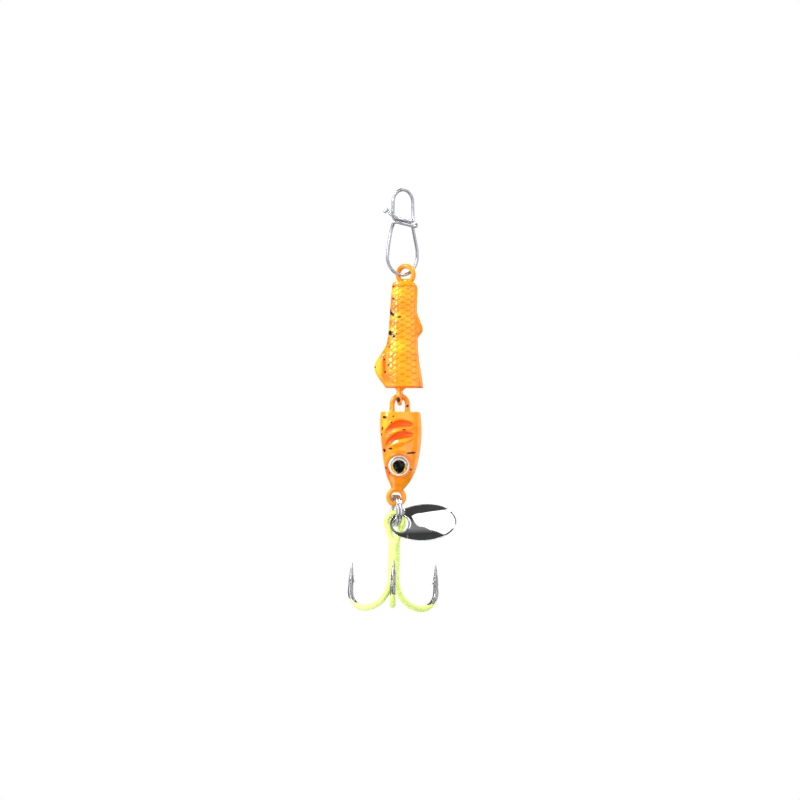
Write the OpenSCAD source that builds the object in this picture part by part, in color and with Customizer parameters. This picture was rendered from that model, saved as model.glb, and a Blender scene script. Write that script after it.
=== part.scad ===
// Jointed metal fishing lure: snap, two cast body sections, split ring, blade and treble hook.
// It hangs from the line tie at the origin, nose down. The fish's left flank faces -Y and its back faces -X.

/* [Snap] */
// Diameter of the snap's spring wire
snap_wire_d = 0.6; // [0.5:0.05:0.6]
// Half the width of the upper lobe, at the middle of the wire
snap_upper_r = 1.95; // [1.9:0.05:2.1]
// Half the width of the lower lobe, at the middle of the wire
snap_lower_r = 2.95; // [2.9:0.05:3.1]
// Turn of the snap about the vertical, so that its wire passes through the tail eye
snap_yaw = 20; // [19:1:22]

/* [Body sections] */
// Diameter of the painted eye wires in the castings
eye_wire_d = 0.92; // [0.8:0.02:0.94]
// Greatest thickness of the tail casting
tail_thick = 3.9; // [3.4:0.1:4.2]
// Greatest thickness of the head casting
head_thick = 4.7; // [4.3:0.1:5]
// Turn of the tail section about the vertical
tail_yaw = -8; // [-10:1:-5]
// Diameter of the moulded fish eye
fish_eye_d = 4; // [3:0.5:4]

/* [Split ring] */
// Outside diameter of the split ring
ring_od = 6; // [5.9:0.1:6.1]
// Width of one coil of the ring, along its axis
ring_coil_w = 0.56; // [0.5:0.02:0.58]
// Radial thickness of the ring's wire
ring_wire_t = 0.6; // [0.5:0.05:0.65]

/* [Blade] */
// Length of the blade
blade_l = 12.4; // [12:0.1:12.6]
// Width of the blade
blade_w = 6.9; // [6.5:0.1:7.2]
// Thickness of the blade's sheet
blade_t = 0.35; // [0.3:0.05:0.4]
// Depth of the blade's dish
blade_dish = 1; // [0.6:0.1:1.2]
// Radius of the hole in the blade
blade_hole_r = 1.5; // [1.45:0.05:1.55]

/* [Treble hook] */
// Diameter of the painted hook wire
hook_wire_d = 1.04; // [0.9:0.02:1.06]
// Distance from the shank's axis to each point
hook_reach = 9.2; // [8.8:0.1:9.4]
// Radius of the inner half of the bend
hook_bend_r = 5.4; // [5:0.1:5.6]
// Length of the shank from the middle of the eye to the bottom of the bend
hook_l = 15.9; // [15.5:0.1:16.4]
// Lean of the hook's bends towards -Y
hook_tilt = 7; // [5:1:8]

/* [Hidden] */

steel_colour = [0.78, 0.79, 0.82];
paint_colour = [1, 0.5, 0.05];
gold_colour = [0.85, 0.7, 0.3];
clear_colour = [0.9, 0.95, 1, 0.4];
hook_colour = [0.8, 1, 0.3];

// Heights of the main features below the line tie, and the middle of each across the lure.
snap_upper_z = -2.15;
snap_lower_z = -12.1;
snap_bottom_z = -15.55;
snap_lower_x = -0.12;
tail_eye = [0.48, 0.33, -15.45];
tail_eye_r = 1.55;
tail_top_z = -16.8;
tail_end_z = -36.6;
joint = [-0.58, 0, -38.12];
head_top_z = -40.9;
nose_z = -55.2;
head_eye = [-1.26, 0, -56.82];
fish_eye = [-0.74, 0, -50.95];
eye_loop_r = 1.42;
ring_c = [-1.36, 0, -59.35];
ring_yaw = 15;
hook_eye = [-1.5, 0, -61.45];
hook_lean = 1.5;
blade_hole = [-0.5, 0, -61.85];

wire_sides = 12;
tiny = 0.01;

// ---- Vectors, curves and sweeps ----

function unit(v) = v / norm(v);
function smooth(t) = t * t * (3 - 2 * t);
function ramp(x, a, b) = smooth(max(0, min(1, (x - a) / (b - a))));

// One point of a Catmull-Rom curve through four points.
function catmull(a, b, c, d, t) =
    0.5 * (2 * b + (c - a) * t + (2 * a - 5 * b + 4 * c - d) * t * t + (3 * b - 3 * c + d - a) * t * t * t);

// A smooth curve through pts, with steps pieces between each pair.
function curve(pts, steps) =
    let (n = len(pts) - 1)
    concat(
        [for (i = [0:n - 1], k = [0:steps - 1])
            catmull(pts[max(i - 1, 0)], pts[i], pts[i + 1], pts[min(i + 2, n)], k / steps)],
        [pts[n]]
    );

// An arc of an ellipse in the XZ plane.
function arc(c, rx, rz, a0, a1, n) =
    [for (i = [0:n]) let (a = a0 + (a1 - a0) * i / n) c + [rx * cos(a), 0, rz * sin(a)]];

function tangents(p) =
    let (n = len(p) - 1)
    [for (i = [0:n]) unit(p[min(i + 1, n)] - p[max(i - 1, 0)])];

// Normals carried along a path without twisting.
function normals(t, i = 0, last = [0, 1, 0], done = []) =
    i == len(t) ? done
    : let (flat = last - t[i] * (last * t[i]))
      let (n = norm(flat) > 0.05 ? unit(flat) : unit(cross(t[i], [0.3, 0.2, 1])))
      normals(t, i + 1, n, concat(done, [n]));

// A solid through equal rings of points, closed by its first and last ring.
module skin(rings) {
    n = len(rings[0]);
    m = len(rings);
    points = [for (r = rings, p = r) p];
    sides = [
        for (i = [0:m - 2], k = [0:n - 1])
            let (a = i * n + k, b = i * n + (k + 1) % n)
            each [[a, b, a + n], [b, b + n, a + n]]
    ];
    polyhedron(points, concat([[for (k = [n - 1:-1:0]) k]], sides, [[for (k = [0:n - 1]) (m - 1) * n + k]]));
}

// Rings of a section carried along a path: section gives the points at place i of the path.
function carried(path, scale_at, section) =
    let (t = tangents(path), n = normals(t))
    [for (i = [0:len(path) - 1])
        let (b = cross(t[i], n[i]))
        [for (s = section) path[i] + (n[i] * s.x + b * s.y) * scale_at[i]]];

function round_section(r, sides) = [for (k = [0:sides - 1]) r * [cos(360 * k / sides), -sin(360 * k / sides)]];

module wire(path, d, taper = undef) {
    scales = is_undef(taper) ? [for (p = path) 1] : taper;
    skin(carried(path, scales, round_section(d / 2, wire_sides)));
}

// ---- Snap ----

snap_joint_gap = 0.04;
snap_arch_h = snap_wire_d / 2 - snap_upper_z;
snap_bowl_h = snap_lower_z - snap_bottom_z;
snap_front = -snap_wire_d - 0.1;
upper_hinge = [snap_upper_r, 0, snap_upper_z];
lower_hinge = [snap_lower_x - snap_lower_r, 0, snap_lower_z];
// Angle that the flat end of the frame's wire keeps from the round end of a gate.
upper_cut = asin((snap_wire_d / 2 + snap_joint_gap) / snap_arch_h);
lower_cut = asin((snap_wire_d / 2 + snap_joint_gap) / snap_bowl_h);
left_x = -snap_upper_r;
right_x = snap_upper_r;
hook_gap = snap_wire_d + 0.05;

// A rounded start for a gate's wire: places and shares of the full wire, from p towards dir.
function dome_places(p, dir) = [for (f = [0.98, 0.85, 0.5]) p + dir * f * snap_wire_d / 2];
dome_shares = [0.2, 0.53, 0.87];

module gate_wire(path, dir) {
    wire(concat(dome_places(path[0], dir), path), snap_wire_d, concat(dome_shares, [for (p = path) 1]));
}

module snap_place() {
    rotate([0, 0, snap_yaw]) children();
}

// The S of the frame: arch, left shoulder, diagonal bar, right shoulder and bowl.
module snap_frame() {
    path = concat(
        arc([0, 0, snap_upper_z], snap_upper_r, snap_arch_h, upper_cut, 180, 12),
        curve([
            [left_x, 0, snap_upper_z - 0.6], [left_x, 0, -4.3], [left_x + 0.06, 0, -4.85],
            [left_x + 0.5, 0, -5.35], [0, 0, -5.75], [right_x - 0.5, 0, -6.15],
            [right_x - 0.02, 0, -6.6], [right_x + 0.12, 0, -7.3], [right_x + 0.85, 0, snap_lower_z + 1.2],
        ], 3),
        arc([snap_lower_x, 0, snap_lower_z], snap_lower_r, snap_bowl_h, 0, -180 + lower_cut, 14)
    );
    color(steel_colour) snap_place() wire(path, snap_wire_d);
}

// Leg, crossing arm in front of the frame, and a hook round the left shoulder with a flared tail.
module snap_upper_gate() {
    path = curve([
        upper_hinge, [right_x + 0.03, 0, -3.6], [right_x, snap_front * 0.25, -4.6], [right_x - 0.3, snap_front, -5.3],
        [0.6, snap_front, -5.2], [left_x + 0.5, snap_front, -4.85], [left_x, snap_front, -4.65],
        [left_x - hook_gap, snap_front * 0.5, -4.3], [left_x - hook_gap - 0.12, 0, -3.75],
        [left_x - hook_gap - 0.5, 0.1, -3.4], [left_x - hook_gap - 1.05, 0.1, -4.05],
    ], 4);
    color(steel_colour) snap_place() gate_wire(path, [0, 0, 1]);
}

// Leg, crossing arm in front of the frame, and a hook round the right shoulder.
module snap_lower_gate() {
    path = curve([
        lower_hinge, [left_x - 0.86, 0, -10], [left_x - 0.45, 0, -7.9], [left_x - 0.04, snap_front * 0.3, -6.6],
        [left_x + 0.42, snap_front, -5.95], [0, snap_front, -6.1], [right_x - 0.4, snap_front, -6.45],
        [right_x + 0.25, snap_front, -6.5], [right_x + hook_gap, snap_front * 0.5, -6.35],
        [right_x + hook_gap + 0.05, 0.1, -6.05],
    ], 4);
    color(steel_colour) snap_place() gate_wire(path, [0, 0, -1]);
}

// ---- Castings ----

body_points = 32;
fin_power = 6;
rounding = 0.82;

// One ring of a casting from a station: [z, x of the back, x of the belly, half thickness, back fin, belly fin].
// The section is a flattened oval, and each fin draws a narrow part of its edge outwards.
function ring_at(s) =
    [for (k = [0:body_points - 1])
        let (
            a = 360 * (k + 0.25) / body_points,
            c = cos(a),
            fin = c < 0 ? -s[4] * pow(-c, fin_power) : s[5] * pow(c, fin_power)
        )
        [(s[1] + s[2]) / 2 + (s[2] - s[1]) / 2 * sign(c) * pow(abs(c), rounding) + fin,
            -s[3] * sign(sin(a)) * pow(abs(sin(a)), rounding), s[0]]];

function lofted(stations) = [for (s = stations) ring_at(s)];

module tail_place() {
    translate([joint.x, 0, 0]) rotate([0, 0, tail_yaw]) translate([-joint.x, 0, 0]) children();
}

tail_half = tail_thick / 2;
tail_stations = [
    [tail_top_z, -1.7, 2.4, 0.95, 0, 0],
    [tail_top_z - 0.7, -2.02, 2.7, 1.1, 0, 0],
    [-19.1, -2.2, 2.82, 1.25, 0, 0],
    [-22, -2.42, 2.75, 1.45, 0, 0],
    [-23.3, -2.5, 2.78, 1.52, 0, 0.27],
    [-24.4, -2.58, 2.8, 1.58, 0, 0.68],
    [-25.5, -2.67, 2.83, 1.64, 0, 0.93],
    [-26.5, -2.77, 2.86, 1.69, 0, 0.5],
    [-27.3, -2.85, 2.9, 1.73, 0, 0.05],
    [-28.4, -3, 2.95, 1.77, 0.15, 0],
    [-29.6, -3.05, 3, 1.81, 0.65, 0],
    [-30.6, -3.1, 3.1, 1.85, 1.3, 0],
    [-31.6, -3.15, 3.2, 1.88, 1.9, 0],
    [-32.7, -3.2, 3.4, 1.92, 2.15, 0],
    [-33.9, -3.2, 3.6, tail_half, 1.9, 0],
    [-35, -3.2, 3.75, tail_half, 1.2, 0],
    [-36, -3.2, 3.85, tail_half, 0.5, 0],
    [tail_end_z + 0.15, -3.15, 3.84, tail_half * 0.97, 0.25, 0],
];
tail_end = [[tail_end_z, -3.05, 3.7, tail_half * 0.93, 0.1, 0]];

// The tail eye faces the flanks, turned a little more than the section, and the joint eye faces across it.
tail_eye_turn = -16;
joint_neck = 0.74;
tail_wire_path =
    let (
        c = tail_eye,
        d = [cos(tail_eye_turn), sin(tail_eye_turn), 0],
        top = [for (a = [-50:20:230]) c + tail_eye_r * (d * cos(a) + [0, 0, sin(a)])],
        low = [for (a = [130:20:410]) joint + (joint_neck * eye_loop_r + 0.25) * [0, cos(a), sin(a)]]
    )
    concat(
        curve([[1, 0, -27], [1.35, 0.05, -21.5], [1.45, 0, -17.8], top[0]], 3),
        [for (i = [1:len(top) - 2]) top[i]],
        curve([
            top[len(top) - 1], [-0.35, 0.1, -17.8], [-0.3, 0.15, -21.5], [-0.45, 0.3, -30],
            [joint.x, 0.5, -35], low[len(low) - 1],
        ], 3),
        [for (i = [len(low) - 2:-1:1]) low[i]],
        curve([low[0], [joint.x, -0.5, -35], [joint.x, -0.45, -31]], 3)
    );

module tail_wire_solid() {
    wire(tail_wire_path, eye_wire_d);
}

module tail_casting() {
    color(paint_colour) tail_place() difference() {
        skin(lofted(concat(curve(tail_stations, 2), tail_end)));
        tail_wire_solid();
    }
}

module tail_wire() {
    color(paint_colour) tail_place() tail_wire_solid();
}

head_half = head_thick / 2;
head_end = [[head_top_z, -3.95, 3.1, head_half * 0.82, 0, 0]];
head_stations = [
    [head_top_z - 0.25, -4.1, 3.3, head_half * 0.88, 0, 0],
    [head_top_z - 1.8, -4.32, 3.48, head_half * 0.97, 0, 0],
    [head_top_z - 4.2, -4.24, 3.5, head_half, 0, 0],
    [head_top_z - 6.4, -4, 3.33, head_half, 0, 0],
    [head_top_z - 8.6, -3.76, 3, head_half * 0.97, 0, 0],
    [head_top_z - 10.7, -3.42, 2.5, head_half * 0.88, 0, 0],
    [head_top_z - 12.4, -2.95, 1.75, head_half * 0.72, 0, 0],
    [head_top_z - 13.5, -2.5, 1.12, head_half * 0.54, 0, 0],
    [nose_z + 0.1, -2.28, 0.35, head_half * 0.36, 0, 0],
    [nose_z - 0.35, -2.1, -0.25, head_half * 0.27, 0, 0],
];

head_arch_r = 1.43;
head_wire_path =
    let (
        arch = [for (a = [0:20:180]) joint + head_arch_r * [cos(a), 0, sin(a)] - [0, 0, head_arch_r]],
        loop = [for (a = [65:-20:-245]) head_eye + eye_loop_r * [cos(a), 0, sin(a)]]
    )
    concat(
        curve([[joint.x - head_arch_r, 0, -46], [joint.x - head_arch_r, 0, -42], arch[len(arch) - 1]], 2),
        [for (i = [len(arch) - 2:-1:1]) arch[i]],
        curve([
            arch[0], [joint.x + head_arch_r, 0, -42], [joint.x + head_arch_r, 0, -46],
            [0.6, 0, -50.5], [-0.1, 0, -54], loop[0],
        ], 3),
        [for (i = [1:len(loop) - 2]) loop[i]],
        curve([loop[len(loop) - 1], [-2.02, 0, -54.2], [-2.1, 0, -51], [-2.05, 0, -48]], 3)
    );

module head_wire_solid() {
    wire(head_wire_path, eye_wire_d);
}

disc_t = 0.12;
pocket_floor = 1.3;

// A round pocket for the moulded eye in each flank.
module eye_pockets() {
    for (side = [-1, 1])
        translate([fish_eye.x, side * pocket_floor, fish_eye.z])
            rotate([side * -90, 0, 0]) cylinder(d = fish_eye_d, h = 4, $fn = 96);
}

gill_r = 5.4;
gill_tube_r = 0.5;

// Two curved gill grooves across each flank.
module gill_grooves() {
    for (side = [-1, 1], z = [-47.6, -49.5])
        translate([1.3, side * (head_half + 0.12), z])
            rotate([90, 0, 0])
                rotate([0, 0, 66])
                    rotate_extrude(angle = 88, $fn = 96) translate([gill_r, 0]) circle(r = gill_tube_r, $fn = 32);
}

module head_casting() {
    color(paint_colour) difference() {
        skin(lofted(concat(head_end, curve(head_stations, 3))));
        head_wire_solid();
        eye_pockets();
        gill_grooves();
    }
}

module head_wire() {
    color(paint_colour) head_wire_solid();
}

// ---- Moulded eyes: a foil disc with the iris, under a clear dome ----

dome_edge = 0.45;
dome_top = 0.75;

module eye_place(side) {
    translate([fish_eye.x, side * pocket_floor, fish_eye.z]) rotate([side * -90, 0, 0]) children();
}

module eye_disc(side) {
    color(gold_colour) eye_place(side) cylinder(d = fish_eye_d, h = disc_t, $fn = 96);
}

module eye_dome(side) {
    cap_r = (pow(fish_eye_d / 2, 2) + pow(dome_top, 2)) / (2 * dome_top);
    color(clear_colour) eye_place(side) translate([0, 0, disc_t]) intersection() {
        cylinder(d = fish_eye_d, h = dome_edge + dome_top, $fn = 96);
        translate([0, 0, dome_edge + dome_top - cap_r]) sphere(r = cap_r, $fn = 96);
    }
}

// ---- Split ring ----

ring_r = (ring_od - ring_wire_t) / 2;
ring_turns_deg = 680;
ring_step_at = 320;
ring_start_deg = 160;
ring_coil_gap = 0.03;

module ring_place() {
    translate(ring_c) rotate([0, 0, ring_yaw]) children();
}

// A two-turn coil of flat wire about the X axis, which steps from one layer to the other.
module split_ring() {
    w = ring_coil_w / 2;
    t = ring_wire_t / 2;
    c = 0.12;
    section = [[w - c, t], [w, t - c], [w, c - t], [w - c, -t], [c - w, -t], [-w, c - t], [-w, t - c], [c - w, t]];
    lift = (ring_coil_w + ring_coil_gap) / 2;
    rings = [for (a = [0:10:ring_turns_deg])
        let (
            x = -lift + 2 * lift * ramp(a, ring_step_at, ring_step_at + 40),
            out = [0, cos(a + ring_start_deg), sin(a + ring_start_deg)]
        )
        [for (s = section) [x + s.x, 0, 0] + out * (ring_r + s.y)]];
    color(steel_colour) ring_place() skin([for (r = rings) [for (k = [len(r) - 1:-1:0]) r[k]]]);
}

// ---- Blade ----

blade_front = -1.52;
blade_turn = -4;
blade_sides = 48;
blade_bands = 9;
hole_from_end = 1.95;

module tilted(c) {
    translate(c) rotate([-hook_tilt, 0, 0]) children();
}

// Height of the dished sheet above the plane of its rim, at a point from the blade's middle.
function dish(p) = blade_dish * (1 - pow(p.x / (blade_l / 2), 2) - pow(p.y / (blade_w / 2), 2));

// A dished oval sheet with a hole: rings of points from the hole's edge out to the rim and back underneath.
module blade_sheet() {
    hole_x = hole_from_end - blade_l / 2;
    function inner(a) = [hole_x + blade_hole_r * cos(a), blade_hole_r * sin(a)];
    function outer(a) = [blade_l / 2 * cos(a), blade_w / 2 * sin(a) * (1 + 0.05 * cos(a))];
    function at(a, f) = inner(a) * (1 - f) + outer(a) * f;
    function row(f, lift) = [for (k = [0:blade_sides - 1])
        let (p = at(360 * k / blade_sides, f))
        [p.x - hole_x, dish(p) + lift, p.y]];
    rows = concat(
        [for (i = [0:blade_bands]) row(i / blade_bands, blade_t / 2)],
        [for (i = [blade_bands:-1:0]) row(i / blade_bands, -blade_t / 2)]
    );
    n = blade_sides;
    m = len(rows);
    points = [for (r = rows, p = r) p];
    faces = [for (i = [0:m - 1], k = [0:n - 1])
        let (a = i * n + k, b = i * n + (k + 1) % n, c = ((i + 1) % m) * n + (k + 1) % n, d = ((i + 1) % m) * n + k)
        each [[a, b, c], [a, c, d]]];
    polyhedron(points, faces);
}

module blade() {
    color(steel_colour) tilted([blade_hole.x, blade_front, blade_hole.z])
        rotate([0, blade_turn, 0]) mirror([0, 1, 0]) blade_sheet();
}

// ---- Treble hook, drawn about the middle of its eye, with the shank down -Z ----

hook_r = hook_wire_d / 2;
hook_eye_r = 1.56;
hook_point_z = -7.4;
hook_outer_r = hook_reach - hook_bend_r - 2 * hook_r / sqrt(3);
shank_offset = (hook_r + tiny) * 2 / sqrt(3);
taper_l = 3.2;

module hook_place() {
    tilted(hook_eye) rotate([0, hook_lean, 0]) children();
}

// The bend and point of one wire, down from the shank, in the plane of its own direction.
function bend_path(dir) =
    let (
        z1 = hook_bend_r - hook_l,
        x2 = shank_offset + hook_bend_r,
        z2 = hook_outer_r - hook_l,
        flat = concat(
            [for (a = [180:15:270]) [x2 + hook_bend_r * cos(a), z1 + hook_bend_r * sin(a)]],
            [for (a = [-75:15:0]) [x2 + hook_outer_r * cos(a), z2 + hook_outer_r * sin(a)]],
            [for (i = [1:6]) let (f = i / 6)
                [hook_reach - 0.18 * f, z2 + (hook_point_z - z2) * f]]
        )
    )
    [for (p = flat) [dir.x * p.x, dir.y * p.x, p.y]];

// Share of the full wire at each place: the steel narrows to a point over the taper.
function point_taper(path) =
    [for (p = path)
        let (left = hook_point_z - p.z)
        norm([p.x, p.y]) < hook_reach - 1.2 ? 1
        : left > taper_l ? 1 - 0.1 * ramp(left, 5.4, 4.4)
        : 0.86 * pow(max(left, 0) / taper_l, 0.75) + 0.04];

// A barb lifted from the inner side of the point.
module barb(dir) {
    inner = hook_reach - 0.25 - hook_r;
    base = hook_point_z - taper_l;
    rotate([0, 0, atan2(dir.y, dir.x)]) hull() {
        translate([inner + 0.5, 0, base + 1.1]) cube([0.1, 0.3, 0.1], center = true);
        translate([inner + 0.35, 0, base - 0.5]) cube([0.2, 0.4, 0.2], center = true);
        translate([inner - 0.4, 0, base - 0.55]) cube([0.08, 0.16, 0.08], center = true);
    }
}

side_dirs = [[-sin(60), cos(60)], [sin(60), cos(60)]];
front_dir = [0, -1];

// One wire makes the eye, two shanks and two bends.
module hook_double() {
    left = bend_path(side_dirs[0]);
    right = bend_path(side_dirs[1]);
    eye = [for (a = [-35:10:215]) [hook_eye_r * cos(a), shank_offset / 2, hook_eye_r * sin(a) * 1.05]];
    back = shank_offset / 2;
    path = concat(
        [for (i = [len(left) - 1:-1:0]) left[i]],
        curve([left[0], [-hook_r - tiny, back, -7], [-hook_r - tiny, back, -3.9], [-0.85, back, -2.6], eye[len(eye) - 1]], 3),
        [for (i = [len(eye) - 2:-1:1]) eye[i]],
        curve([eye[0], [0.85, back, -2.6], [hook_r + tiny, back, -3.9], [hook_r + tiny, back, -7], right[0]], 3),
        [for (i = [1:len(right) - 1]) right[i]]
    );
    color(hook_colour) hook_place() {
        wire(path, hook_wire_d, point_taper(path));
        for (d = side_dirs) barb(d);
    }
}

// The third wire is brazed along the front of the shank.
module hook_single() {
    front = bend_path(front_dir);
    path = concat([[0, -shank_offset, -4.1], [0, -shank_offset, -7]], front);
    color(hook_colour) hook_place() {
        wire(path, hook_wire_d, point_taper(path));
        barb(front_dir);
    }
}

// Braze fills the grooves between the three shanks.
module hook_braze() {
    braze_top = -4.2;
    braze_end = -10.2;
    color(hook_colour) hook_place() translate([0, 0, braze_end]) linear_extrude(braze_top - braze_end) difference() {
        circle(r = shank_offset + 0.06, $fn = 48);
        for (a = [30, 150, 270]) rotate(a) translate([shank_offset, 0]) circle(r = hook_r + 0.005, $fn = 48);
    }
}

snap_frame();
snap_upper_gate();
snap_lower_gate();
tail_casting();
tail_wire();
head_casting();
head_wire();
eye_disc(-1);  // eye_disc_left
eye_disc(1);  // eye_disc_right
eye_dome(-1);  // eye_dome_left
eye_dome(1);  // eye_dome_right
split_ring();
blade();
hook_double();
hook_single();
hook_braze();
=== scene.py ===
import math

import bmesh
import bpy
import numpy as np
from mathutils import Matrix, Vector


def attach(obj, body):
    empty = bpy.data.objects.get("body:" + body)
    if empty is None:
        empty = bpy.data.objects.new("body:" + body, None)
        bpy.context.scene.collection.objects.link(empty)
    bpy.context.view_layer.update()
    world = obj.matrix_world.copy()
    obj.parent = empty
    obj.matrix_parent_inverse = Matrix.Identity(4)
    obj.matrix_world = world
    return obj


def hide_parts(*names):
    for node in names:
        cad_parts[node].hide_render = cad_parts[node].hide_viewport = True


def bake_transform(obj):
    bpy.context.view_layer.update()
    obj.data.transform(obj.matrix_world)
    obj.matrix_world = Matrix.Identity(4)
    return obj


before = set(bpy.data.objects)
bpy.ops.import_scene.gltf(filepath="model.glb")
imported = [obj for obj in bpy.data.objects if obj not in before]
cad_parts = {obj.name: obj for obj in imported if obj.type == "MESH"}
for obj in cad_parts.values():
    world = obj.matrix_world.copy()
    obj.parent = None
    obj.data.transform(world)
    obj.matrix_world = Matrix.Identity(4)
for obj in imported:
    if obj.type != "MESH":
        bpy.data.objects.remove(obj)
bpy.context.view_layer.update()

# Shapes are drawn in millimetres in the row frame, and scaled to metres as they become meshes.
MM = 0.001
rng = np.random.default_rng(7)

# ---- Curves, tubes and lofts ----


def catmull(points, steps):
    """A smooth curve through the points, of the same kind as in the CAD source."""
    p = np.array(points, float)
    n = len(p) - 1
    out = []
    for i in range(n):
        a, b, c, d = p[max(i - 1, 0)], p[i], p[i + 1], p[min(i + 2, n)]
        for k in range(steps):
            t = k / steps
            out.append(0.5 * (2 * b + (c - a) * t + (2 * a - 5 * b + 4 * c - d) * t * t
                              + (3 * b - 3 * c + d - a) * t ** 3))
    out.append(p[n])
    return np.array(out)


def lengths(path):
    return np.concatenate([[0], np.cumsum(np.linalg.norm(np.diff(path, axis=0), axis=1))])


def even(path, spacing):
    """The same path with its points evenly spaced."""
    path = np.array(path, float)
    run = lengths(path)
    n = max(3, int(round(run[-1] / spacing)) + 1)
    at = np.linspace(0, run[-1], n)
    return np.stack([np.interp(at, run, path[:, k]) for k in range(3)], 1)


def smoothed(path, rounds=3):
    """The path with its corners relaxed and its ends kept."""
    p = path.copy()
    for _ in range(rounds):
        p[1:-1] = (p[:-2] + 2 * p[1:-1] + p[2:]) / 4
    return p


def smooth_step(x, a, b):
    """0 before a and 1 past b, with a soft change between them."""
    t = np.clip((x - a) / (b - a), 0, 1)
    return t * t * (3 - 2 * t)


def bell(x, middle, width, power=2):
    """1 at the middle, falling to nothing on both sides; a higher power has a flatter top."""
    return np.exp(-((x - middle) / width) ** power)


def arc(cx, cz, rx, rz, a0, a1, n):
    a = np.radians(np.linspace(a0, a1, n + 1))
    return np.stack([cx + rx * np.cos(a), 0 * a, cz + rz * np.sin(a)], 1)


def frames(path):
    """Tangent, normal and binormal along a path, carried without twist."""
    t = np.gradient(path, axis=0)
    t /= np.linalg.norm(t, axis=1)[:, None]
    n = np.zeros_like(path)
    last = np.array([0.0, 1.0, 0.0])
    for i in range(len(path)):
        flat = last - t[i] * (last @ t[i])
        if np.linalg.norm(flat) < 0.05:
            flat = np.cross(t[i], [0.3, 0.2, 1.0])
        last = flat / np.linalg.norm(flat)
        n[i] = last
    return t, n, np.cross(t, n)


def grid_faces(m, n):
    """Four-sided faces between m closed rings of n points."""
    faces = []
    for i in range(m - 1):
        for k in range(n):
            a = i * n + k
            b = i * n + (k + 1) % n
            faces.append((a, b, b + n, a + n))
    return faces


def closed_grid(grid):
    """Vertices and faces of a stack of rings whose two ends are closed."""
    m, n, _ = grid.shape
    faces = grid_faces(m, n)
    faces.append(tuple(range(n - 1, -1, -1)))
    faces.append(tuple((m - 1) * n + k for k in range(n)))
    return grid.reshape(-1, 3), faces


def tube(path, radius, sides=20):
    """Vertices and faces of a round tube; radius is one number or one per point."""
    path = np.array(path, float)
    radius = np.broadcast_to(radius, (len(path),))
    _, n, b = frames(path)
    a = 2 * np.pi * np.arange(sides) / sides
    ring = n[:, None] * np.cos(a)[None, :, None] + b[:, None] * np.sin(a)[None, :, None]
    return closed_grid(path[:, None] + ring * radius[:, None, None])


def join(*parts):
    verts, faces, start = [], [], 0
    for v, f in parts:
        verts.append(v)
        faces += [tuple(start + i for i in face) for face in f]
        start += len(v)
    return np.vstack(verts), faces


def piece(name, shape, material, body, slot, stands_for=(), blend=None, **layers):
    """A mesh object from a shape in mm, with float layers for its material, on a CAD body; a piece with a
    blend is instead left off any body, with its transform applied.
    """
    verts, faces = shape
    mesh = bpy.data.meshes.new(name)
    mesh.from_pydata([tuple(v) for v in np.asarray(verts) * MM], [], faces)
    mesh.validate()
    outward = bmesh.new()
    outward.from_mesh(mesh)
    bmesh.ops.recalc_face_normals(outward, faces=outward.faces)
    outward.to_mesh(mesh)
    outward.free()
    mesh.update()
    mesh.polygons.foreach_set("use_smooth", [True] * len(mesh.polygons))
    for layer, values in layers.items():
        made = mesh.attributes.new(layer, "FLOAT", "POINT")
        made.data.foreach_set("value", np.asarray(values, np.float32))
    obj = bpy.data.objects.new(name, mesh)
    bpy.context.scene.collection.objects.link(obj)
    mesh.materials.append(material)
    if blend:
        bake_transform(obj)
    else:
        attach(obj, body)
    if stands_for:
        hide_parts(*stands_for)
    return obj


# ---- Materials ----


def fill_ramp(node, stops):
    """Gives a colour ramp its stops, whose colours may be single greys."""
    e = node.color_ramp.elements
    while len(e) < len(stops):
        e.new(0.5)
    for item, (at, colour) in zip(e, stops):
        item.position = at
        item.color = (*colour, 1) if isinstance(colour, tuple) else (colour, colour, colour, 1)


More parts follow.
